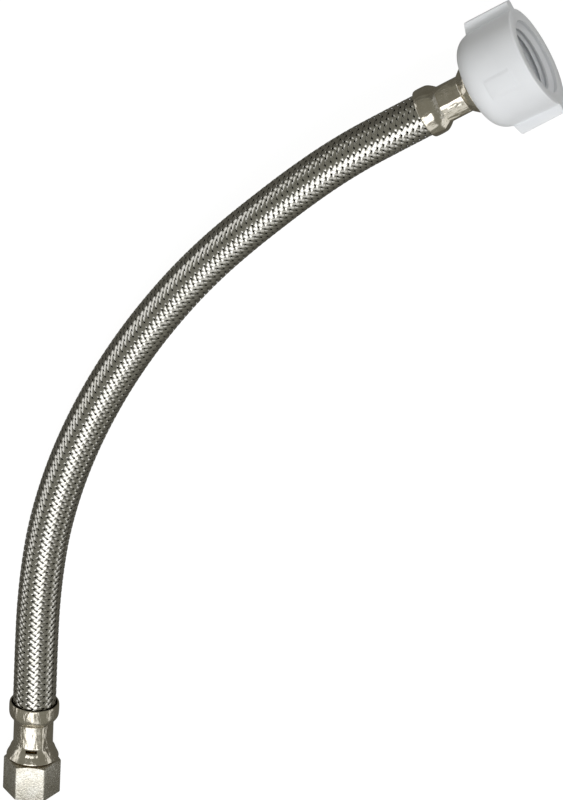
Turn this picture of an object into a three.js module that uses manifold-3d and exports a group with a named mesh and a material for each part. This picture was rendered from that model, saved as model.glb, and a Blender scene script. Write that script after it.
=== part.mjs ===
// Braided supply line: a hose in a steel braid, with a 3/8 in compression nut on one end and a winged
// 7/8 in ballcock nut on the other. Millimetres, +Z up. It lies on its side on the plane z = 0.
import * as THREE from 'three';
import { mergeVertices } from 'three/addons/utils/BufferGeometryUtils.js';
import Module from 'manifold-3d';

const wasm = await Module();
wasm.setup();

const { degToRad, smoothstep } = THREE.MathUtils;

// Where the two fittings lie: the middle of each ferrule's hose-side rim, and the way its mouth points.
const LOWER_RIM = [-74, -112, 8.25];
const LOWER_HEADING = -90;
const UPPER_RIM = [41.07, 105.98, 16.6];
const UPPER_HEADING = 33.5;

// The hose's centre line. It starts and ends 5 mm inside the ferrules, lies on the plane in its first
// half, and rises to the larger nut's axis in its second.
const ROUTE = [
  [-74, -117, 8.25], [-74, -112, 8.25], [-74, -103, 8.2], [-74, -91, 8.0],
  [-73.8, -78.2, 7.7], [-73, -65.4, 7.4], [-71.5, -52.7, 7.2], [-69, -40.2, 7.2],
  [-65.6, -27.8, 7.2], [-61.4, -15.8, 7.2], [-56.4, -3.9, 7.3], [-50.8, 7.55, 7.6],
  [-44.7, 18.55, 8.3], [-38, 29.3, 9.3], [-30.85, 39.65, 10.5], [-23.15, 49.5, 11.75],
  [-14.9, 58.9, 13], [-6.2, 68.05, 14.25], [2.8, 76.9, 15.1], [12.2, 85.4, 15.9],
  [21.1, 92.45, 16.35], [30.27, 98.82, 16.6], [41.07, 105.98, 16.6], [45.27, 108.76, 16.6],
];

// Hose: radii of the braid's sleeve and of the tube inside it.
const BRAID_OUTER = 7;
const BRAID_INNER = 6.6;
const LINER_OUTER = 6.25;
const LINER_BORE = 4.2;
const HOSE_SIDES = 12;
const HOSE_STEPS = 40;

// Everything below is measured outwards from a ferrule's rim, along its fitting's axis.
// Ferrule: collar over the braid, neck crimped to a hexagon, lip towards the nut.
const LOWER_FERRULE_LENGTH = 19.2;
const UPPER_FERRULE_LENGTH = 17.9;
const UPPER_CRIMP_SPIN = 12;
const FERRULE_WALL = 0.6;
const COLLAR_RADIUS = 7.95;
const NECK_RADIUS = 6.8;
const LIP_RADIUS = 8.3;
const LIP_BORE = 7.5;
const NECK_START = 6.8;
const NECK_END = 14.2;
const CRIMP_RUN_OUT = 1.2;

// Inserts: a barbed tail in the hose, a shoulder in the ferrule's lip, a stem and a sealing head.
const WATERWAY = 2.6;
const BARB_ROOT = 3.5;
const BARB_CREST = 3.95;
const BARB_PITCH = 3;
const TAIL_START = -7;
const TAIL_END = 14;
const SHOULDER_RADIUS = 7.1;
const SHOULDER_LENGTH = 0.9;
const LOWER_STEM = 4.4;
const UPPER_STEM = 5;

// Compression nut: 5/8 in hexagon, bored for a 9/16-24 thread.
const HEX_ACROSS_FLATS = 15.875;
const HEX_START = 19.9;
const HEX_END = 31.8;
const HEX_WALL = 2.5;
const HEX_BORE = 6.85;
const HEX_CHAMFER = 0.75;

// Ballcock nut: a round body with two wings, bored for a 7/8-14 thread.
const NUT_START = 18.2;
const NUT_END = 40.3;
const NUT_BACK_RADIUS = 15.9;
const NUT_MOUTH_RADIUS = 16.5;
const NUT_SHOULDER = 6.5;
const NUT_WALL = 3.3;
const NUT_BORE = 10.7;
const NUT_LEAD_IN = 12.4;
const NUT_LEAD_LENGTH = 2;
const WING_REACH = 19.4;
const WING_WIDTH = 4.6;
const WING_COUNT = 2;
const WING_SPIN = -19;
const WING_START = 5.6;
const WING_SLANT = 1.4;

// Gap between pieces that touch, and how many sides round pieces have.
const GAP = 0.3;
const FERRULE_SIDES = 36;
const NUT_SIDES = 60;
const HIDDEN_SIDES = 24;

const metal = (color, roughness) => new THREE.MeshStandardMaterial({ color, roughness, metalness: 1 });
const rubber = new THREE.MeshStandardMaterial({ color: 0x26272a, roughness: 0.8, metalness: 0 });
const steelBraid = metal(0xc2c2bd, 0.35);
const nickel = metal(0xbdb49a, 0.25);
const satinNickel = metal(0xb9b6a8, 0.4);
const brass = metal(0xb08d4a, 0.35);
const hosePlastic = new THREE.MeshStandardMaterial({ color: 0x8f959b, roughness: 0.6, metalness: 0 });
const whitePlastic = new THREE.MeshStandardMaterial({ color: 0xe4e5ea, roughness: 0.4, metalness: 0 });

function mesh(name, geometry, material) {
  const piece = new THREE.Mesh(geometry, material);
  piece.name = name;
  return piece;
}

// A ring or bush turned about Y. The outline is [radius, height] pairs, up its outside and down its bore.
function turned(outline, sides) {
  const points = [...outline, outline[0]].map(([radius, height]) => new THREE.Vector2(radius, height));
  return new THREE.LatheGeometry(points, sides);
}

function solid(geometry) {
  const bare = geometry.clone();
  bare.deleteAttribute('normal');
  bare.deleteAttribute('uv');
  const merged = mergeVertices(bare, 1e-4);
  return new wasm.Manifold(new wasm.Mesh({
    numProp: 3,
    vertProperties: new Float32Array(merged.attributes.position.array),
    triVerts: new Uint32Array(merged.index.array),
  }));
}

function geometryOf(manifold) {
  const { vertProperties, triVerts } = manifold.getMesh();
  const geometry = new THREE.BufferGeometry();
  geometry.setAttribute('position', new THREE.BufferAttribute(vertProperties, 3));
  geometry.setIndex(new THREE.BufferAttribute(triVerts, 1));
  return geometry;
}

// Presses six flats into the neck, full depth between its ends and running out beyond them.
function pressHexagon(geometry) {
  const position = geometry.attributes.position;
  const side = Math.PI / 3;
  for (let i = 0; i < position.count; i += 1) {
    const [x, y, z] = [position.getX(i), position.getY(i), position.getZ(i)];
    const fromFlat = Math.abs(((Math.atan2(x, z) + side / 2 + 2 * Math.PI) % side) - side / 2);
    const hexagon = Math.cos(side / 2) / Math.cos(fromFlat);
    const depth = smoothstep(y, NECK_START - CRIMP_RUN_OUT, NECK_START)
      * (1 - smoothstep(y, NECK_END, NECK_END + CRIMP_RUN_OUT));
    const scale = 1 + depth * (hexagon - 1);
    position.setXYZ(i, x * scale, y, z * scale);
  }
  return geometry;
}

function ferrule(name, length, spin) {
  const outside = [
    [COLLAR_RADIUS - 0.3, 0], [COLLAR_RADIUS - 0.1, 0.4], [COLLAR_RADIUS, 3], [COLLAR_RADIUS - 0.15, 4.5],
    [COLLAR_RADIUS - 0.7, 5.8], [NECK_RADIUS, NECK_START], [NECK_RADIUS, NECK_END],
    [7.3, length - 2.6], [7.9, length - 1.2], [LIP_RADIUS, length - 0.4], [LIP_RADIUS, length],
  ];
  const inside = [
    [LIP_BORE, length], [LIP_BORE, length - 1.2], [6.9, length - 2.1],
    [NECK_RADIUS - FERRULE_WALL - 0.1, NECK_END + 0.2], [NECK_RADIUS - FERRULE_WALL - 0.1, NECK_START],
    [7, 5.3], [COLLAR_RADIUS - FERRULE_WALL, 4.4], [COLLAR_RADIUS - FERRULE_WALL, 0],
  ];
  const geometry = pressHexagon(turned([...outside, ...inside], FERRULE_SIDES));
  return mesh(name, geometry.rotateY(degToRad(spin)), nickel);
}

// The tail's outline, from its tip to the shoulder: each barb rises slowly and drops at once.
function barbedTail() {
  const outline = [[BARB_ROOT - 0.3, TAIL_START]];
  for (let at = TAIL_START + 1; at + BARB_PITCH <= TAIL_END; at += BARB_PITCH) {
    outline.push([BARB_ROOT, at], [BARB_CREST, at + BARB_PITCH - 0.4], [BARB_ROOT, at + BARB_PITCH - 0.1]);
  }
  return outline;
}

function insert(name, stem, head, ferruleLength) {
  const shoulder = ferruleLength - SHOULDER_LENGTH;
  return mesh(name, turned([
    ...barbedTail(), [4.4, TAIL_END + 0.6], [4.4, shoulder], [SHOULDER_RADIUS, shoulder],
    [SHOULDER_RADIUS, ferruleLength], [stem, ferruleLength], [stem, head.start],
    [head.radius, head.start], [head.radius, head.end], [head.nose, head.end],
    [head.nose, head.noseEnd], [WATERWAY, head.noseEnd], [WATERWAY, TAIL_START],
  ], HIDDEN_SIDES), brass);
}

function compressionNut() {
  const length = HEX_END - HEX_START;
  const cornerRadius = HEX_ACROSS_FLATS / 2 / Math.cos(Math.PI / 6);
  const flatRadius = HEX_ACROSS_FLATS / 2;
  const hexagon = new THREE.CylinderGeometry(cornerRadius, cornerRadius, length, 6)
    .rotateY(Math.PI / 6)
    .translate(0, HEX_START + length / 2, 0);
  const chamfered = turned([
    [flatRadius - 0.3, HEX_START], [cornerRadius + 0.2, HEX_START + HEX_CHAMFER],
    [cornerRadius + 0.2, HEX_END + 1], [HEX_BORE, HEX_END + 1],
    [HEX_BORE, HEX_START + HEX_WALL], [LOWER_STEM + GAP, HEX_START + HEX_WALL],
    [LOWER_STEM + GAP, HEX_START],
  ], NUT_SIDES);
  return mesh('compression_nut', geometryOf(solid(hexagon).intersect(solid(chamfered))), satinNickel);
}

// One wing, from inside the body's wall to its outer face, slanted at its hose end.
function wing() {
  const outline = new THREE.Shape([
    new THREE.Vector2(NUT_BACK_RADIUS - 2, NUT_START + WING_START),
    new THREE.Vector2(NUT_BACK_RADIUS, NUT_START + WING_START),
    new THREE.Vector2(WING_REACH, NUT_START + WING_START + WING_SLANT),
    new THREE.Vector2(WING_REACH, NUT_END),
    new THREE.Vector2(NUT_BACK_RADIUS - 2, NUT_END),
  ]);
  return new THREE.ExtrudeGeometry(outline, { depth: WING_WIDTH, bevelEnabled: false })
    .translate(0, 0, -WING_WIDTH / 2);
}

function ballcockNut() {
  const backFace = NUT_BACK_RADIUS - NUT_SHOULDER;
  const shoulder = [];
  for (let step = 0; step <= 6; step += 1) {
    const turn = (step / 6) * (Math.PI / 2);
    shoulder.push([
      backFace + NUT_SHOULDER * Math.sin(turn),
      NUT_START + NUT_SHOULDER * (1 - Math.cos(turn)),
    ]);
  }
  const body = turned([
    ...shoulder, [NUT_MOUTH_RADIUS, NUT_END], [NUT_LEAD_IN, NUT_END],
    [NUT_LEAD_IN, NUT_END - NUT_LEAD_LENGTH + 0.8], [NUT_BORE, NUT_END - NUT_LEAD_LENGTH],
    [NUT_BORE, NUT_START + NUT_WALL], [UPPER_STEM + GAP, NUT_START + NUT_WALL],
    [UPPER_STEM + GAP, NUT_START],
  ], NUT_SIDES);
  let nut = solid(body);
  for (let i = 0; i < WING_COUNT; i += 1) {
    const turn = degToRad(WING_SPIN + (i * 360) / WING_COUNT);
    nut = nut.add(solid(wing().rotateY(turn)));
  }
  return mesh('ballcock_nut', geometryOf(nut), whitePlastic);
}

// The two rubber seals lie on their insert's head, round its nose.
function compressionSeal(head) {
  const start = head.end + GAP;
  return mesh('compression_cone_washer', turned([
    [6.1, start], [6.1, start + 1], [4.7, start + 2.8], [head.nose + GAP, start + 2.8],
    [head.nose + GAP, start],
  ], HIDDEN_SIDES), rubber);
}

function ballcockSeal(head) {
  const start = head.end + GAP;
  return mesh('ballcock_seal_washer', turned([
    [10.2, start], [10.2, start + 2.2], [8.6, start + 3.4], [head.nose + GAP, start + 3.4],
    [head.nose + GAP, start],
  ], HIDDEN_SIDES), rubber);
}

function tubeAlongRoute(outer, bore) {
  const section = new THREE.Shape().absarc(0, 0, outer, 0, 2 * Math.PI);
  section.holes.push(new THREE.Path().absarc(0, 0, bore, 0, 2 * Math.PI, true));
  const centreLine = new THREE.CatmullRomCurve3(ROUTE.map((point) => new THREE.Vector3(...point)));
  return new THREE.ExtrudeGeometry(section, {
    steps: HOSE_STEPS, curveSegments: HOSE_SIDES / 2, extrudePath: centreLine, bevelEnabled: false,
  });
}

// Turns a group's +Y along a heading in the XY plane, with its origin at a ferrule's rim.
function fitting(rim, heading, pieces) {
  const group = new THREE.Group();
  group.position.set(...rim);
  group.rotation.z = degToRad(heading - 90);
  group.add(...pieces);
  return group;
}

const lowerHead = { start: 22.7, end: 24.1, noseEnd: 25.8, radius: 6.3, nose: 3.5 };
const upperHead = { start: 21.8, end: 24, noseEnd: 25.8, radius: 9.8, nose: 4.2 };

const supplyLine = new THREE.Group();
supplyLine.add(
  mesh('steel_braid', tubeAlongRoute(BRAID_OUTER, BRAID_INNER), steelBraid),
  mesh('hose_liner', tubeAlongRoute(LINER_OUTER, LINER_BORE), hosePlastic),
  fitting(LOWER_RIM, LOWER_HEADING, [
    ferrule('lower_crimp_ferrule', LOWER_FERRULE_LENGTH, 0),
    insert('lower_barbed_insert', LOWER_STEM, lowerHead, LOWER_FERRULE_LENGTH),
    compressionSeal(lowerHead),
    compressionNut(),
  ]),
  fitting(UPPER_RIM, UPPER_HEADING, [
    ferrule('upper_crimp_ferrule', UPPER_FERRULE_LENGTH, UPPER_CRIMP_SPIN),
    insert('upper_barbed_insert', UPPER_STEM, upperHead, UPPER_FERRULE_LENGTH),
    ballcockSeal(upperHead),
    ballcockNut(),
  ]),
);

export default supplyLine;
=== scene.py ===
"""The looks of the braided supply line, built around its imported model. Metres, in the frame's own axes."""

import math

import bmesh
import bpy
import numpy as np
from mathutils import Matrix, Vector


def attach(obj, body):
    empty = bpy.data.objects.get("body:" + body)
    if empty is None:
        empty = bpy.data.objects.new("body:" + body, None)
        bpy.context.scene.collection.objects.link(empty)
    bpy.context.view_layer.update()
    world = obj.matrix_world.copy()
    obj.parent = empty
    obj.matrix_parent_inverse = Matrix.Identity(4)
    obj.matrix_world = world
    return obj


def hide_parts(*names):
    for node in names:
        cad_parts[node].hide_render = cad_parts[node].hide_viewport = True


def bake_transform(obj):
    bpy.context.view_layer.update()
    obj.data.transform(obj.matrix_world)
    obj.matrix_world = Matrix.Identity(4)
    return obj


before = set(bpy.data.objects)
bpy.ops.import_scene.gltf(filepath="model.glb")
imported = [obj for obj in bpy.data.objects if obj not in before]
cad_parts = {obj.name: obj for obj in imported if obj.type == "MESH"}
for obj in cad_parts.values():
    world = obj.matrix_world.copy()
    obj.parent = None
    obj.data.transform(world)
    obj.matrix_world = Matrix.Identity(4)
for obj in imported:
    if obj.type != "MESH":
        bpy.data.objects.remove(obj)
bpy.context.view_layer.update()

MM = 0.001

# ---- Where the two fittings are: the rim of each ferrule, and the heading of its axis in the XY plane.
LOWER_RIM = (-74.0, -112.0, 8.25)
LOWER_HEADING = -90.0
UPPER_RIM = (41.07, 105.98, 16.6)
UPPER_HEADING = 33.5

# ---- The hose's centre line, in millimetres: the route of the braid's own solid. Then how many points the
# ---- curve has between two of these.
ROUTE = [
    (-74, -117, 8.25), (-74, -112, 8.25), (-74, -103, 8.2), (-74, -91, 8.0), (-73.8, -78.2, 7.7),
    (-73, -65.4, 7.4), (-71.5, -52.7, 7.2), (-69, -40.2, 7.2), (-65.6, -27.8, 7.2), (-61.4, -15.8, 7.2),
    (-56.4, -3.9, 7.3), (-50.8, 7.55, 7.6), (-44.7, 18.55, 8.3), (-38, 29.3, 9.3), (-30.85, 39.65, 10.5),
    (-23.15, 49.5, 11.75), (-14.9, 58.9, 13), (-6.2, 68.05, 14.25), (2.8, 76.9, 15.1), (12.2, 85.4, 15.9),
    (21.1, 92.45, 16.35), (30.27, 98.82, 16.6), (41.07, 105.98, 16.6), (45.27, 108.76, 16.6),
]
CURVE_STEPS = 24

# ---- The braid: flat bands of parallel wires, wound both ways and woven one over, one under. A band's edges
# ---- are its lift above the mean radius, its middle is a crown higher, and the wave moves it in and out.
CARRIERS = 12
BAND_PITCH = 25.8
BAND_MEAN = 6.68
BAND_WAVE = 0.065
BAND_WIDTH = 1.26
BAND_LIFT = 0.065
WIRES = 5
WIRE_RIDGE = 0.006
BAND_CROWN = 0.045
BAND_INSET = 0.6
STEPS_PER_WEAVE = 8
WAVE_FLATNESS = 1.5

# ---- The liner tube. It starts and ends a little inside the braid.
LINER_RADIUS = 6.2
LINER_BORE_RADIUS = 4.2
LINER_INSET = 1.0
LINER_SIDES = 48
LINER_STEPS = 260

# ---- Ferrules: their lengths, and the crimped neck's turn in degrees, the distance of its flats from the
# ---- axis, how round they are, its wall and its ends. Then two corners of the box that is the pressed slot.
LOWER_FERRULE_LENGTH = 19.2
UPPER_FERRULE_LENGTH = 17.9
UPPER_CRIMP_SPIN = 12.0
NECK_FLAT = 5.97
FACET_BULGE = 0.5
NECK_WALL = 0.65
NECK_START = 6.8
NECK_END = 14.6
SLOT_LOW = (-1.85, 14.85, 4.9)
SLOT_HIGH = (1.85, 15.65, 9.0)

# ---- Inserts, from the ferrule's rim: the stem's radius, where the head starts and ends and its nose ends,
# ---- and the radii of the head and the nose.
LOWER_INSERT = (4.4, 22.7, 24.1, 25.8, 6.3, 3.5)
UPPER_INSERT = (5.0, 21.8, 24.0, 25.8, 9.8, 4.2)
INSERT_BORE_RADIUS = 2.6
TAIL_END = -7
TAIL_RADIUS = 3.5
BARB_RADIUS = 3.95
BARB_PITCH = 3
SHOULDER_RADIUS = 7.1

# ---- Seals, from the ferrule's rim: closed outlines of radius, height and corner radius.
CONE_WASHER = [(6.1, 24.4, 0.15), (6.1, 25.4, 0.2), (4.7, 27.2, 0.2), (3.8, 27.2, 0.15), (3.8, 24.4, 0.1)]
SEAL_WASHER = [(10.2, 24.3, 0.2), (10.2, 26.5, 0.4), (8.6, 27.7, 0.4), (4.5, 27.7, 0.3), (4.5, 24.3, 0.15)]
TURNED_SIDES = 96

# ---- Threads: rows for each turn, and how steep the ridge's sides are.
THREAD_STEPS = 10
THREAD_SLOPE = 2.6

# ---- Compression nut, measured from its ferrule's rim. Its thread is a mean radius, a depth and a pitch.
HEX_FLAT = 7.9375
HEX_START = 19.9
HEX_END = 31.8
HEX_FLOOR = 22.4
HEX_HOLE = 4.7
HEX_THREAD = (6.845, 0.55, 1.058)

# ---- Ballcock nut, measured from its ferrule's rim. Angles are in degrees.
NUT_START = 18.2
NUT_END = 40.3
NUT_FLOOR = 21.5
NUT_HOLE = 5.3
NUT_BACK_RADIUS = 15.9
NUT_MOUTH_RADIUS = 16.5
NUT_SHOULDER = 6.5
SHOULDER_STEPS = 14
SIDE_STEPS = 46
NUT_LEAD_IN = 12.4
NUT_THREAD = (10.62, 0.95, 1.814)
WING_REACH = 19.4
WING_HALF = 2.3
WING_COUNT = 2
WING_SPIN = -19.0
PAD_ANGLES = (-22.5, 1.5)
PAD_HEIGHTS = (25.4, 34.8)
PAD_RISE = 0.25
PAD_EDGE = 0.5
PAD_EDGE_ANGLE = 2

# ---- The camera: the point it looks at in millimetres, the directions back to it and up, and its distance
# ---- in metres and lens.
LOOK_AT = (0.24, 0.89, 10.0)
CAMERA_BACK = (0.04574, 0.44375, 0.89498)
CAMERA_UP = (-0.06667, 0.89528, -0.44049)
CAMERA_DISTANCE = 4.428
CAMERA_LENS = 636.2

# ---- The floor's half width and its drop below the object, in metres, and the paper's brightness.
FLOOR_REACH = 60.0
FLOOR_DROP = 0.0002
PAPER = 0.96

# ---- The studio's own light: its colours below and above the horizon, and the heights where they blend.
WORLD_LOW = (0.11, 0.105, 0.088, 1)
WORLD_HIGH = (0.20, 0.195, 0.165, 1)
WORLD_BLEND = (0.40, 0.60)


# ---------------------------------------------------------------- camera, floor and light
def make_camera():
    data = bpy.data.cameras.new("camera")
    data.lens = CAMERA_LENS
    data.clip_start = 0.1
    data.clip_end = 100.0
    camera = bpy.data.objects.new("camera", data)
    bpy.context.scene.collection.objects.link(camera)
    back = Vector(CAMERA_BACK).normalized()
    right = Vector(CAMERA_UP).cross(back).normalized()
    up = back.cross(right)
    turn = Matrix((right, up, back)).transposed().to_4x4()
    camera.matrix_world = Matrix.Translation(Vector(LOOK_AT) * MM + back * CAMERA_DISTANCE) @ turn
    bpy.context.scene.camera = camera


def make_material(name):
    material = bpy.data.materials.new(name)
    material.use_nodes = True
    return material, material.node_tree, material.node_tree.nodes["Principled BSDF"]


def make_floor():
    """A flat pale sheet that reaches far past the edges of every view."""
    mesh = bpy.data.meshes.new("floor")
    corners = [(x * FLOOR_REACH, y * FLOOR_REACH, 0) for x, y in ((-1, -1), (1, -1), (1, 1), (-1, 1))]
    mesh.from_pydata(corners, [], [(0, 1, 2, 3)])
    floor = bpy.data.objects.new("floor", mesh)
    bpy.context.scene.collection.objects.link(floor)
    floor.location.z = -FLOOR_DROP
    material, _, shader = make_material("floor_paper")
    shader.inputs["Base Color"].default_value = (0.1, 0.1, 0.1, 1)
    shader.inputs["Roughness"].default_value = 0.9
    shader.inputs["Specular IOR Level"].default_value = 0.1
    shader.inputs["Emission Color"].default_value = (1, 1, 1, 1)
    shader.inputs["Emission Strength"].default_value = PAPER
    floor.data.materials.append(material)
    floor.visible_glossy = False
    floor.visible_diffuse = False
    floor.visible_shadow = False


def area_light(name, direction, distance, size, strength, glossy=True, diffuse=True):
    """A soft box in that direction from the object, facing it, of that radiance."""
    data = bpy.data.lights.new(name, "AREA")
    data.shape = "RECTANGLE"
    data.size, data.size_y = size
    data.energy = strength * size[0] * size[1] * math.pi
    light = bpy.data.objects.new(name, data)
    bpy.context.scene.collection.objects.link(light)
    back = Vector(direction).normalized()
    light.location = back * distance
    light.rotation_mode = "QUATERNION"
    light.rotation_quaternion = back.to_track_quat("Z", "Y")
    light.visible_camera = False
    light.visible_glossy = glossy
    light.visible_diffuse = diffuse


def make_soft_boxes():
    area_light("key", (-0.13, -0.27, 0.95), 1.3, (0.7, 1.15), 1.65)
    area_light("left_strip", (-1.0, 0.05, 0.13), 1.0, (1.3, 0.34), 0.85, diffuse=False)
    area_light("right_strip", (1.0, -0.1, 0.13), 1.0, (1.3, 0.34), 0.7, diffuse=False)
    area_light("front", (0.1, -0.75, 0.65), 1.3, (0.75, 0.55), 0.6)
    area_light("bounce", (0, 0, -1), 1.0, (2.0, 2.0), 0.5, glossy=False)
    area_light("back", (0.7, 0.7, 0.3), 1.5, (2.0, 2.0), 0.9, glossy=False)
    area_light("shoulder", (-0.6, 0.75, 0.3), 1.5, (2.0, 2.0), 0.4, glossy=False)


def make_fill():
    fill = bpy.data.lights.new("fill", "SUN")
    fill.energy = 1.2
    fill.angle = math.radians(12)
    sun = bpy.data.objects.new("fill", fill)
    bpy.context.scene.collection.objects.link(sun)
    sun.rotation_mode = "QUATERNION"
    sun.rotation_quaternion = Vector((0.1, -0.25, 0.96)).to_track_quat("Z", "Y")
    sun.visible_glossy = False


def make_world():
    """A grey room that lights the object. Where the camera sees past the floor, it sees pale paper."""
    world = bpy.data.worlds.new("studio")
    world.use_nodes = True
    bpy.context.scene.world = world
    nodes, links = world.node_tree.nodes, world.node_tree.links
    place = nodes.new("ShaderNodeTexCoord")
    split = nodes.new("ShaderNodeSeparateXYZ")
    ramp = nodes.new("ShaderNodeValToRGB")
    span = nodes.new("ShaderNodeMapRange")
    span.inputs["From Min"].default_value = -1
    links.new(place.outputs["Generated"], split.inputs[0])
    links.new(split.outputs["Z"], span.inputs["Value"])
    links.new(span.outputs["Result"], ramp.inputs["Fac"])
    steps = ramp.color_ramp.elements
    steps[0].position, steps[1].position = WORLD_BLEND
    steps[0].color = WORLD_LOW
    steps[1].color = WORLD_HIGH
    links.new(ramp.outputs["Color"], nodes["Background"].inputs["Color"])
    paper = nodes.new("ShaderNodeBackground")
    paper.inputs["Color"].default_value = (PAPER, PAPER, PAPER, 1)
    seen = nodes.new("ShaderNodeLightPath")
    choice = nodes.new("ShaderNodeMixShader")
    links.new(seen.outputs["Is Camera Ray"], choice.inputs["Fac"])
    links.new(nodes["Background"].outputs[0], choice.inputs[1])
    links.new(paper.outputs[0], choice.inputs[2])
    links.new(choice.outputs[0], nodes["World Output"].inputs["Surface"])
    bpy.context.scene.view_settings.view_transform = "Standard"


# ---------------------------------------------------------------- mesh helpers
def add_object(name, vertices, faces, smooth_under=35.0):
    mesh = bpy.data.meshes.new(name)
    mesh.from_pydata(vertices, [], faces)
    finish_mesh(mesh, smooth_under)
    piece = bpy.data.objects.new(name, mesh)
    bpy.context.scene.collection.objects.link(piece)
    return piece


def finish_mesh(mesh, smooth_under):
    """Faces outwards, smooth but for the edges sharper than the given angle."""
    work = bmesh.new()
    work.from_mesh(mesh)
    bmesh.ops.recalc_face_normals(work, faces=work.faces)
    for face in work.faces:
        face.smooth = True
    limit = math.radians(smooth_under)
    for edge in work.edges:
        edge.smooth = len(edge.link_faces) == 2 and edge.calc_face_angle() < limit
    work.to_mesh(mesh)
    work.free()


def grid_faces(rows, columns):
    """Quads over a grid of rows by columns that wraps round both ways."""
    faces = []
    for row in range(rows):
        here, there = row * columns, ((row + 1) % rows) * columns
        for column in range(columns):
            beside = (column + 1) % columns
            faces.append((here + column, here + beside, there + beside, there + column))
    return faces


def rounded(outline, steps=4):
    """A closed outline of (r, y, corner radius), with its corners rounded."""
    points = []
    count = len(outline)
    for i, (r, y, radius) in enumerate(outline):
        here = Vector((r, y))
        before = Vector(outline[i - 1][:2]) - here
        after = Vector(outline[(i + 1) % count][:2]) - here
        half = before.angle(after) / 2
        cut = min(radius / math.tan(half), before.length * 0.49, after.length * 0.49)
        start = here + before.normalized() * cut
        end = here + after.normalized() * cut
        for step in range(steps + 1):
            t = step / steps
            point = start.lerp(here, t).lerp(here.lerp(end, t), t)
            points.append((point.x, point.y))
    return points


def smoothed(outline, steps):
    """An open outline of (r, y), with a curve drawn through its points."""
    ends = [tuple(2 * a - b for a, b in zip(outline[0], outline[1]))]
    tail = [tuple(2 * a - b for a, b in zip(outline[-1], outline[-2]))]
    through = np.array(ends + list(outline) + tail, float)
    points = []
    for p0, p1, p2, p3 in zip(through, through[1:], through[2:], through[3:]):
        for t in np.arange(steps) / steps:
            a = 2 * p1 + (p2 - p0) * t
            b = (2 * p0 - 5 * p1 + 4 * p2 - p3) * t ** 2
            c = (3 * p1 - p0 - 3 * p2 + p3) * t ** 3
            points.append(tuple((a + b + c) / 2))
    points.append(tuple(through[-2]))
    return points


def loop(radius, height, angle):
    """A row of points round Y, in millimetres. The angle runs from +Z towards +X."""
    radius, height, angle = np.broadcast_arrays(radius, height, angle)
    return np.stack([radius * np.sin(angle), height, radius * np.cos(angle)], -1)


def skin(name, rows, smooth_under=35.0):
    """A closed skin through rows of points round Y, the last row joined to the first."""
    vertices = (np.concatenate(rows) * MM).tolist()
    return add_object(name, vertices, grid_faces(len(rows), len(rows[0])), smooth_under)


def turned(name, outline):
    """A closed outline of (r, y, corner radius) in millimetres, its corners rounded, turned about Y."""
    angle = np.linspace(0, 2 * math.pi, TURNED_SIDES, endpoint=False)
    return skin(name, [loop(r, y, angle) for r, y in rounded(outline)])


def hexagon_angles():
    """Angles round a hexagon whose flats face +Z and -Z, closer together towards its corners."""
    half = [0, 6, 12, 17, 21, 24, 26, 27.5, 28.6, 29.4, 30]
    sector = [-step for step in half[-2:0:-1]] + half
    return np.radians([60 * side + step for side in range(6) for step in sector])


def hexagon(angle, flat, sharpness, bulge=0.0):
    """Radius of a hexagon with slightly rounded corners. A bulge of 1 would make it round."""
    sides = (np.maximum(0, np.cos(angle - side * math.pi / 3)) ** sharpness for side in range(6))
    return flat * (bulge + (1 - bulge) / sum(sides) ** (1 / sharpness))


def thread_rows(angle, start, end, thread):
    """A right-hand internal thread from one height to another, running out at both ends."""
    mean, depth, pitch = thread
    rows = []
    for height in np.arange(start, end, math.copysign(pitch / THREAD_STEPS, end - start)):
        turn = (height / pitch - angle / (2 * math.pi)) % 1.0
        ridge = np.clip(THREAD_SLOPE * (abs(2 * turn - 1) - 0.5), -1, 1)
        fade = min(1.0, abs(height - start) / pitch, abs(height - end) / pitch)
        rows.append(loop(mean + depth / 2 * ridge * fade, height, angle))
    return rows


def cut_slot(piece, low, high):
    """Cuts a box with those corners, in millimetres, out of a piece."""
    corners = [(x, y, z) for x in (low[0], high[0]) for y in (low[1], high[1]) for z in (low[2], high[2])]
    sides = [(0, 1, 3, 2), (4, 6, 7, 5), (0, 4, 5, 1), (2, 3, 7, 6), (0, 2, 6, 4), (1, 5, 7, 3)]
    cutter = add_object("cutter", [tuple(value * MM for value in corner) for corner in corners], sides)
    modifier = piece.modifiers.new("slot", "BOOLEAN")
    modifier.operation = "DIFFERENCE"
    modifier.solver = "EXACT"
    modifier.object = cutter
    bpy.context.view_layer.update()
    mesh = bpy.data.meshes.new_from_object(piece.evaluated_get(bpy.context.evaluated_depsgraph_get()))
    piece.modifiers.clear()
    piece.data = mesh
    finish_mesh(mesh, 40)
    bpy.data.objects.remove(cutter)


def fit_on(piece, rim, heading, body):
    """Puts a piece made about +Y from a ferrule's rim in its place, on its body."""
    turn = Matrix.Rotation(math.radians(heading - 90), 4, "Z")
    piece.matrix_world = Matrix.Translation(Vector(rim) * MM) @ turn
    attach(piece, body)


# ---------------------------------------------------------------- materials
def node(tree, kind, **inputs):
    made = tree.nodes.new(kind)
    for name, value in inputs.items():
        made.inputs[name].default_value = value
    return made


def noise(tree, scale, detail, stretch=(1, 1, 1)):
    """Noise over the object's own coordinates, scaled per metre."""
    place = node(tree, "ShaderNodeTexCoord")
    mapping = node(tree, "ShaderNodeMapping", Scale=stretch)
    texture = node(tree, "ShaderNodeTexNoise", Scale=scale, Detail=detail)
    tree.links.new(place.outputs["Object"], mapping.inputs["Vector"])
    tree.links.new(mapping.outputs["Vector"], texture.inputs["Vector"])
    return texture.outputs["Fac"]


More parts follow.
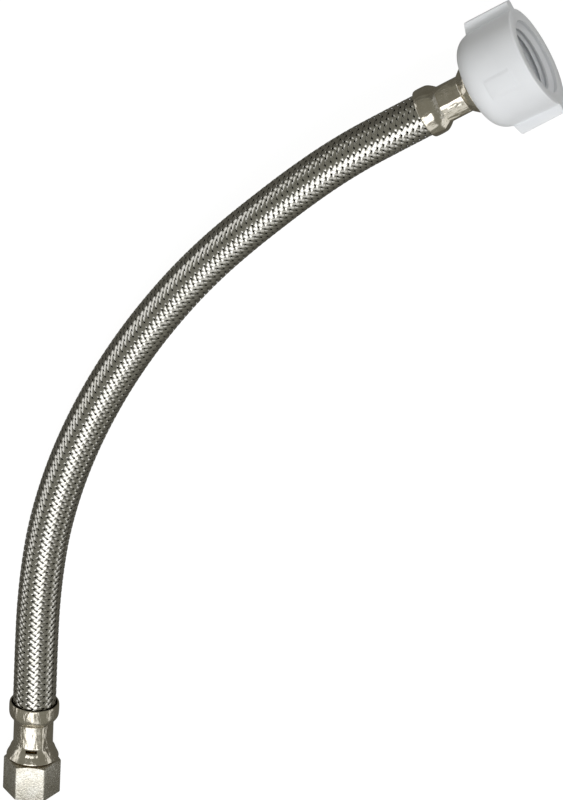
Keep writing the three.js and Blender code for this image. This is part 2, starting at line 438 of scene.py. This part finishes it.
def spread(tree, source, low, high, socket):
    """Feeds a 0 to 1 value into a number's socket as low to high."""
    span = node(tree, "ShaderNodeMapRange")
    span.inputs["From Min"].default_value = 0.3
    span.inputs["From Max"].default_value = 0.7
    span.inputs["To Min"].default_value = low
    span.inputs["To Max"].default_value = high
    tree.links.new(source, span.inputs["Value"])
    tree.links.new(span.outputs["Result"], socket)


def tint(tree, source, dark, light, socket):
    """Feeds a 0 to 1 value into a colour's socket as dark to light."""
    ramp = node(tree, "ShaderNodeValToRGB")
    first, last = ramp.color_ramp.elements
    first.position, first.color = 0.35, (*dark, 1)
    last.position, last.color = 0.65, (*light, 1)
    tree.links.new(source, ramp.inputs["Fac"])
    tree.links.new(ramp.outputs["Color"], socket)


def bump(tree, source, distance, strength, socket):
    """Feeds a 0 to 1 value into a normal's socket as relief of that depth."""
    relief = node(tree, "ShaderNodeBump", Strength=strength, Distance=distance)
    tree.links.new(source, relief.inputs["Height"])
    tree.links.new(relief.outputs["Normal"], socket)
    return relief


def metal(name, dark, light, rough, grain_scale, grain_depth, dent_depth=0.0):
    """Plated or drawn metal: its colour and polish vary a little, over a fine grain and shallow dents."""
    material, tree, shader = make_material(name)
    shader.inputs["Metallic"].default_value = 1.0
    cloud = noise(tree, 260.0, 2.0)
    tint(tree, cloud, dark, light, shader.inputs["Base Color"])
    grain = noise(tree, grain_scale, 4.0)
    spread(tree, grain, *rough, shader.inputs["Roughness"])
    relief = bump(tree, grain, grain_depth, 0.6, shader.inputs["Normal"])
    if dent_depth:
        dents = noise(tree, 420.0, 2.0, (1, 0.35, 1))
        bump(tree, dents, dent_depth, 0.8, relief.inputs["Normal"])
    return material


def rubber():
    material, tree, shader = make_material("seal_rubber")
    grain = noise(tree, 1800.0, 3.0)
    tint(tree, grain, (0.018, 0.018, 0.02), (0.035, 0.035, 0.038), shader.inputs["Base Color"])
    spread(tree, grain, 0.6, 0.8, shader.inputs["Roughness"])
    bump(tree, grain, 0.00008, 0.5, shader.inputs["Normal"])
    return material


def liner_plastic():
    material, tree, shader = make_material("liner_plastic")
    grain = noise(tree, 900.0, 2.0)
    tint(tree, grain, (0.006, 0.006, 0.006), (0.012, 0.012, 0.012), shader.inputs["Base Color"])
    shader.inputs["Roughness"].default_value = 0.7
    return material


def white_plastic():
    """Milky moulded plastic: light goes a few millimetres into it."""
    material, tree, shader = make_material("nut_plastic")
    cloud = noise(tree, 70.0, 3.0)
    tint(tree, cloud, (0.78, 0.80, 0.84), (0.82, 0.84, 0.88), shader.inputs["Base Color"])
    shader.inputs["Subsurface Weight"].default_value = 0.2
    shader.inputs["Subsurface Radius"].default_value = (1.0, 1.0, 1.0)
    shader.inputs["Subsurface Scale"].default_value = 0.002
    shader.inputs["Specular IOR Level"].default_value = 0.4
    grain = noise(tree, 1500.0, 3.0)
    spread(tree, grain, 0.38, 0.5, shader.inputs["Roughness"])
    bump(tree, grain, 0.00004, 0.4, shader.inputs["Normal"])
    return material


# ---------------------------------------------------------------- the hose
def centre_line():
    """The curve through the route's points, in millimetres, close enough together to have its length."""
    points = np.array(ROUTE, float)
    ends = np.vstack([2 * points[0] - points[1], points, 2 * points[-1] - points[-2]])
    curve = []
    for p0, p1, p2, p3 in zip(ends, ends[1:], ends[2:], ends[3:]):
        gaps = [math.sqrt(np.linalg.norm(b - a)) for a, b in ((p0, p1), (p1, p2), (p2, p3))]
        t0, t1 = 0.0, gaps[0]
        t2, t3 = t1 + gaps[1], t1 + gaps[1] + gaps[2]
        for t in np.linspace(t1, t2, CURVE_STEPS, endpoint=False):
            a1 = ((t1 - t) * p0 + (t - t0) * p1) / (t1 - t0)
            a2 = ((t2 - t) * p1 + (t - t1) * p2) / (t2 - t1)
            a3 = ((t3 - t) * p2 + (t - t2) * p3) / (t3 - t2)
            b1 = ((t2 - t) * a1 + (t - t0) * a2) / (t2 - t0)
            b2 = ((t3 - t) * a2 + (t - t1) * a3) / (t3 - t1)
            curve.append(((t2 - t) * b1 + (t - t1) * b2) / (t2 - t1))
    curve.append(points[-1])
    return np.array(curve)


class Route:
    """Places points by distance along the hose, angle round it and radius."""

    def __init__(self, curve):
        self.curve = curve
        self.along = np.concatenate([[0], np.cumsum(np.linalg.norm(np.diff(curve, axis=0), axis=1))])
        self.length = self.along[-1]
        tangent = np.gradient(curve, self.along, axis=0)
        tangent /= np.linalg.norm(tangent, axis=1)[:, None]
        side = np.array([0.0, 0.0, 1.0])
        sides = []
        for t in tangent:
            side = side - t * (side @ t)
            side /= np.linalg.norm(side)
            sides.append(side)
        self.side = np.array(sides)
        self.across = np.cross(tangent, self.side)

    def at(self, distance, angle, radius):
        place, side, across = (
            np.stack([np.interp(distance, self.along, axis) for axis in table.T], -1)
            for table in (self.curve, self.side, self.across)
        )
        turn = np.cos(angle)[..., None] * side + np.sin(angle)[..., None] * across
        return place + radius[..., None] * turn


def band_profile():
    """Across one band: a valley and a crest for each wire, as offsets across it and above the mean radius."""
    across = np.linspace(-BAND_WIDTH / 2, BAND_WIDTH / 2, 2 * WIRES + 1)
    crests = np.arange(2 * WIRES + 1) % 2
    crown = BAND_CROWN * (1 - (2 * across / BAND_WIDTH) ** 2)
    return across, BAND_LIFT + WIRE_RIDGE * (crests - 0.5) + crown


def band_points(route, way, carriers):
    """Points of the bands wound one way, by band, step along the hose and place across the band."""
    across, above = band_profile()
    lean = math.atan2(BAND_PITCH, 2 * math.pi * BAND_MEAN)
    spacing = BAND_PITCH / CARRIERS / STEPS_PER_WEAVE
    steps = int((route.length - 2 * BAND_INSET) / spacing)
    distance = BAND_INSET + spacing * np.arange(steps)[None, :, None] + 0 * across
    carrier = np.array(carriers)[:, None, None]
    angle = way * 2 * math.pi * distance / BAND_PITCH + 2 * math.pi * carrier / CARRIERS
    spot = distance + across * math.cos(lean)
    angle = angle - way * across * math.sin(lean) / BAND_MEAN
    crossing = (angle + way * 2 * math.pi * spot / BAND_PITCH) / (2 * math.pi / CARRIERS)
    level = np.clip(WAVE_FLATNESS * np.cos(math.pi * (crossing + carrier)), -1, 1)
    wave = way * BAND_WAVE * np.sin(math.pi / 2 * level)
    radius = BAND_MEAN + wave + above
    return route.at(np.broadcast_to(spot, radius.shape), angle, radius)


def band_faces(count, steps, ring, way):
    """Quads round and along each band, and a cap on each of its ends."""
    base = (np.arange(count)[:, None, None] * steps + np.arange(steps - 1)[None, :, None]) * ring
    here = np.arange(ring)[None, None, :]
    beside = (here + 1) % ring
    corners = [base + here, base + beside, base + ring + beside, base + ring + here]
    faces = np.stack(corners, -1).reshape(-1, 4)[:, ::way].tolist()
    for band in range(count):
        start = band * steps * ring
        end = start + (steps - 1) * ring
        caps = [list(range(start, start + ring))[::-1], list(range(end, end + ring))]
        faces += [cap[::way] for cap in caps]
    return faces


def crease_valleys(mesh, ring):
    """Sharp edges in the valleys between the wires. Elsewhere the bands are smooth."""
    ends = np.zeros(len(mesh.edges) * 2, np.int32)
    mesh.edges.foreach_get("vertices", ends)
    place = ends.reshape(-1, 2) % ring
    valley = (place[:, 0] == place[:, 1]) & (place[:, 0] % 2 == 0)
    mesh.attributes.new("sharp_edge", "BOOLEAN", "EDGE").data.foreach_set("value", valley)


def braid_bands(name, route, way, carriers):
    """Some of the bands wound one way. They lie over the other way's bands where their wave is high."""
    points = band_points(route, way, carriers)
    count, steps, ring, _ = points.shape
    faces = band_faces(count, steps, ring, way)
    mesh = bpy.data.meshes.new(name)
    mesh.from_pydata((points.reshape(-1, 3) * MM).tolist(), [], faces)
    mesh.polygons.foreach_set("use_smooth", np.ones(len(faces), bool))
    crease_valleys(mesh, ring)
    mesh.update()
    piece = bpy.data.objects.new(name, mesh)
    bpy.context.scene.collection.objects.link(piece)
    return piece


def liner(route):
    distance = np.linspace(LINER_INSET, route.length - LINER_INSET, LINER_STEPS)[:, None]
    angle = np.linspace(0, 2 * math.pi, LINER_SIDES, endpoint=False)[None, :]
    distance, angle = np.broadcast_arrays(distance, angle)
    outer = route.at(distance, angle, np.full(distance.shape, LINER_RADIUS))
    inner = route.at(distance[::-1], angle, np.full(distance.shape, LINER_BORE_RADIUS))
    vertices = np.concatenate([outer, inner]).reshape(-1, 3) * MM
    faces = grid_faces(2 * LINER_STEPS, LINER_SIDES)
    return add_object("hose_liner_tube", vertices.tolist(), faces)


def make_hose():
    curve = centre_line()
    route = Route(curve)
    wire = metal("braid_steel", (0.66, 0.65, 0.61), (0.74, 0.73, 0.70), (0.14, 0.22), 2600.0, 0.00001)
    bands = []
    for hand, way in (("right", 1), ("left", -1)):
        for half in (0, 1):
            carriers = range(half, CARRIERS, 2)
            bands.append(braid_bands(f"braid_{hand}_hand_bands_{half + 1}", route, way, carriers))
    tube = liner(route)
    tube.data.materials.append(liner_plastic())
    for piece in (*bands, tube):
        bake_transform(piece)
    for piece in bands:
        piece.data.materials.append(wire)
        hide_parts("steel_braid")
    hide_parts("hose_liner")


# ---------------------------------------------------------------- the fittings
def soft_min(first, second, sharpness=22):
    return (first ** -sharpness + second ** -sharpness) ** (-1 / sharpness)


def ferrule(name, length, spin):
    """A collar, a neck crimped to a hexagon, and a lip."""
    angle = hexagon_angles()
    outside = smoothed([
        (7.5, 0.12), (7.65, 0.0), (7.85, 0.3), (7.95, 1.2), (7.95, 3), (7.8, 4.5), (7.25, 5.8), (6.85, 6.8),
        (6.8, 8.2), (6.8, 10.5), (6.8, 12.8), (6.84, 14.2), (7.3, length - 2.6), (7.65, length - 1.8),
        (8.05, length - 0.95), (8.28, length - 0.4), (8.25, length - 0.08), (8.0, length),
    ], 8)
    inside = [
        (7.5, length), (7.5, length - 1.2), (6.9, length - 2.1), (6.2, 14.6), (6.1, 14), (6.1, 7), (6.4, 6.4),
        (7, 5.3), (7.35, 4.4), (7.35, 0.15), (7.45, 0.1),
    ]
    rows = []
    for outline, wall in ((outside, 0.0), (inside, NECK_WALL)):
        for radius, height in outline:
            flat = NECK_FLAT - wall + max(0.0, NECK_START - height, height - NECK_END)
            rows.append(loop(soft_min(radius, hexagon(angle, flat, 60, FACET_BULGE)), height, angle))
    piece = skin(name, rows, 40)
    piece.data.transform(Matrix.Rotation(math.radians(spin), 4, "Y"))
    return piece


def insert(name, sizes, ferrule_length):
    """The barbed insert: tail, shoulder, stem, sealing head and nose, bored through."""
    tail = [(3.2, TAIL_END, 0.1)]
    for at in range(TAIL_END + 1, 12, BARB_PITCH):
        tail += [(TAIL_RADIUS, at, 0.05), (BARB_RADIUS, at + 2.6, 0.06), (TAIL_RADIUS, at + 2.9, 0.05)]
    stem, start, end, nose_end, radius, nose = sizes
    shoulder = ferrule_length - 0.9
    return turned(name, tail + [
        (4.4, NECK_END, 0.2), (4.4, shoulder, 0.1), (SHOULDER_RADIUS, shoulder, 0.2),
        (SHOULDER_RADIUS, ferrule_length, 0.2), (stem, ferrule_length, 0.15), (stem, start, 0.15),
        (radius, start, 0.25), (radius, end, 0.25), (nose, end, 0.1), (nose, nose_end, 0.3),
        (INSERT_BORE_RADIUS, nose_end, 0.2), (INSERT_BORE_RADIUS, TAIL_END, 0.2),
    ])


def compression_nut():
    """A hexagon nut: chamfered at the hose end, sharp at the mouth, with its thread."""
    angle = hexagon_angles()
    radius = hexagon(angle, HEX_FLAT, 90)
    edge = HEX_START + (radius - 7.64) * 0.434
    rows = [
        loop(HEX_HOLE, HEX_START + 0.25, angle), loop(HEX_HOLE + 0.25, HEX_START, angle),
        loop(7.4, HEX_START, angle), loop(7.64, HEX_START + 0.05, angle),
        loop(radius - 0.14, edge - 0.02, angle), loop(radius - 0.03, edge + 0.05, angle),
        loop(radius, edge + 0.16, angle), loop(radius, HEX_END - 0.2, angle),
        loop(radius - 0.05, HEX_END - 0.06, angle), loop(radius - 0.18, HEX_END, angle),
        loop(7.55, HEX_END, angle), loop(7.2, HEX_END - 0.3, angle),
    ]
    rows += thread_rows(angle, HEX_END - 0.4, HEX_FLOOR + 1.2, HEX_THREAD)
    rows += [
        loop(6.85, HEX_FLOOR + 0.6, angle), loop(6.75, HEX_FLOOR + 0.1, angle), loop(6.6, HEX_FLOOR, angle),
        loop(HEX_HOLE + 0.2, HEX_FLOOR, angle), loop(HEX_HOLE, HEX_FLOOR - 0.2, angle),
    ]
    return skin("hexagon_compression_nut", rows, 30)


def winged_row(body, reach, height):
    """Round the ballcock nut at one height: the wings stand up to their reach out of the body."""
    face = [(0, 0), (1.2, 0), (1.9, 0), (2.08, 0.04), (2.2, 0.13), (2.27, 0.26), (WING_HALF, 0.42)]
    foot = [(WING_HALF, 0.55), (2.33, 0.34), (2.44, 0.16), (2.62, 0.05), (2.86, 0.0)]
    half = []
    for beside, drop in face:
        half.append((max(math.sqrt(body ** 2 - beside ** 2), reach - drop), beside))
    grown = min(1.0, max(0.0, (reach - body) / 1.2))
    for beside, rise in foot:
        half.append((math.sqrt(body ** 2 - beside ** 2) + rise * grown, beside))
    first = math.asin(foot[-1][0] / body)
    for angle in np.linspace(first, math.pi / WING_COUNT, SIDE_STEPS)[1:]:
        half.append((body * math.cos(angle), body * math.sin(angle)))
    turns = [math.atan2(beside, out) for out, beside in half]
    radii = [math.hypot(out, beside) for out, beside in half]
    sector = [(-t, r) for t, r in zip(turns[-2:0:-1], radii[-2:0:-1])] + list(zip(turns, radii))
    angle = []
    radius = []
    for wing in range(WING_COUNT):
        middle = math.radians(90 + WING_SPIN + wing * 360 / WING_COUNT)
        angle += [middle + t for t, _ in sector]
        radius += [r for _, r in sector]
    angle = np.array(angle)
    radius = np.array(radius)
    for low, high in (np.radians(PAD_ANGLES), np.radians(PAD_ANGLES) + math.pi):
        turned_by = (angle - (low + high) / 2 + math.pi) % (2 * math.pi) - math.pi
        beside = np.clip(((high - low) / 2 - abs(turned_by)) / math.radians(PAD_EDGE_ANGLE), 0, 1)
        along = np.clip(min(height - PAD_HEIGHTS[0], PAD_HEIGHTS[1] - height) / PAD_EDGE, 0, 1)
        radius += PAD_RISE * beside * along
    return loop(radius, height, angle), angle


def ballcock_nut():
    """A round body with two wings: a rounded shoulder, a wide mouth with a lead-in, and its thread."""
    back_face = NUT_BACK_RADIUS - NUT_SHOULDER
    outline = [(back_face - 0.5, NUT_START), (back_face, NUT_START + 0.02)]
    for step in range(1, SHOULDER_STEPS):
        turn = step / SHOULDER_STEPS * math.pi / 2
        outline.append((
            back_face + NUT_SHOULDER * math.sin(turn), NUT_START + NUT_SHOULDER * (1 - math.cos(turn)),
        ))
    reaches = [(23.8, 15.6), (23.95, 15.95), (24.9, 18.75), (25.05, 19.1), (25.2, 19.28), (25.45, 19.4)]
    pad = {end + step * PAD_EDGE for end in PAD_HEIGHTS for step in (-1, -0.5, 0, 0.5, 1)}
    heights = sorted({y for _, y in outline} | {y for y, _ in reaches} | pad | {30.0, 33.0, 39.6, 39.9})
    radii = [(y, r) for r, y in outline] + [(24.7, NUT_BACK_RADIUS), (NUT_END, NUT_MOUTH_RADIUS)]
    rows = []
    for height in heights:
        body = np.interp(height, *zip(*radii))
        reach = np.interp(height, *zip(*reaches), left=0.0)
        rows.append(winged_row(body, reach, height)[0])
    for drop, height in ((0.03, NUT_END - 0.25), (0.12, NUT_END - 0.1), (0.3, NUT_END)):
        rows.append(winged_row(NUT_MOUTH_RADIUS - drop, WING_REACH - drop, height)[0])
    angle = winged_row(NUT_MOUTH_RADIUS, WING_REACH, NUT_END)[1]
    rows += [
        loop(NUT_LEAD_IN + 0.25, NUT_END, angle), loop(NUT_LEAD_IN + 0.05, NUT_END - 0.08, angle),
        loop(NUT_LEAD_IN, NUT_END - 0.3, angle), loop(NUT_LEAD_IN - 0.05, NUT_END - 1.1, angle),
        loop(NUT_LEAD_IN - 0.3, NUT_END - 1.3, angle), loop(10.9, NUT_END - 2.0, angle),
    ]
    rows += thread_rows(angle, NUT_END - 2.1, NUT_FLOOR + 2.0, NUT_THREAD)
    rows += [
        loop(10.7, NUT_FLOOR + 0.6, angle), loop(10.5, NUT_FLOOR + 0.1, angle), loop(10.2, NUT_FLOOR, angle),
        loop(NUT_HOLE + 0.25, NUT_FLOOR, angle), loop(NUT_HOLE, NUT_FLOOR - 0.25, angle),
        loop(NUT_HOLE, NUT_START + 0.25, angle), loop(NUT_HOLE + 0.25, NUT_START, angle),
    ]
    return skin("winged_ballcock_nut", rows, 30)


def place(piece, rim, heading, body, slot, replaced, material):
    piece.data.materials.append(material)
    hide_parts(replaced)
    fit_on(piece, rim, heading, body)


def make_fittings():
    nickel = metal(
        "ferrule_nickel", (0.78, 0.73, 0.63), (0.88, 0.84, 0.75), (0.16, 0.26), 1500.0, 0.00002, 0.0005,
    )
    satin = metal("hex_nut_nickel", (0.78, 0.75, 0.67), (0.90, 0.88, 0.82), (0.24, 0.34), 1800.0, 0.0003)
    brass = metal("insert_brass", (0.70, 0.55, 0.30), (0.80, 0.64, 0.37), (0.2, 0.34), 900.0, 0.00002)
    black = rubber()
    lower_ferrule = ferrule("lower_ferrule", LOWER_FERRULE_LENGTH, 0.0)
    cut_slot(lower_ferrule, SLOT_LOW, SLOT_HIGH)
    upper_ferrule = ferrule("upper_ferrule", UPPER_FERRULE_LENGTH, UPPER_CRIMP_SPIN)
    lower_insert = insert("lower_insert", LOWER_INSERT, LOWER_FERRULE_LENGTH)
    upper_insert = insert("upper_insert", UPPER_INSERT, UPPER_FERRULE_LENGTH)
    cone = turned("cone_washer", CONE_WASHER)
    disc = turned("seal_washer", SEAL_WASHER)
    lower = (LOWER_RIM, LOWER_HEADING)
    upper = (UPPER_RIM, UPPER_HEADING)
    place(lower_ferrule, *lower, "lower_end", "ferrule_nickel", "lower_crimp_ferrule", nickel)
    place(upper_ferrule, *upper, "upper_end", "ferrule_nickel", "upper_crimp_ferrule", nickel)
    place(lower_insert, *lower, "lower_end", "insert_brass", "lower_barbed_insert", brass)
    place(upper_insert, *upper, "upper_end", "insert_brass", "upper_barbed_insert", brass)
    place(cone, *lower, "lower_end", "seal_rubber", "compression_cone_washer", black)
    place(disc, *upper, "upper_end", "seal_rubber", "ballcock_seal_washer", black)
    place(compression_nut(), *lower, "compression_nut", "hex_nut_nickel", "compression_nut", satin)
    place(ballcock_nut(), *upper, "ballcock_nut", "nut_plastic", "ballcock_nut", white_plastic())


make_camera()
make_hose()
make_fittings()
make_floor()
make_soft_boxes()
make_fill()
make_world()
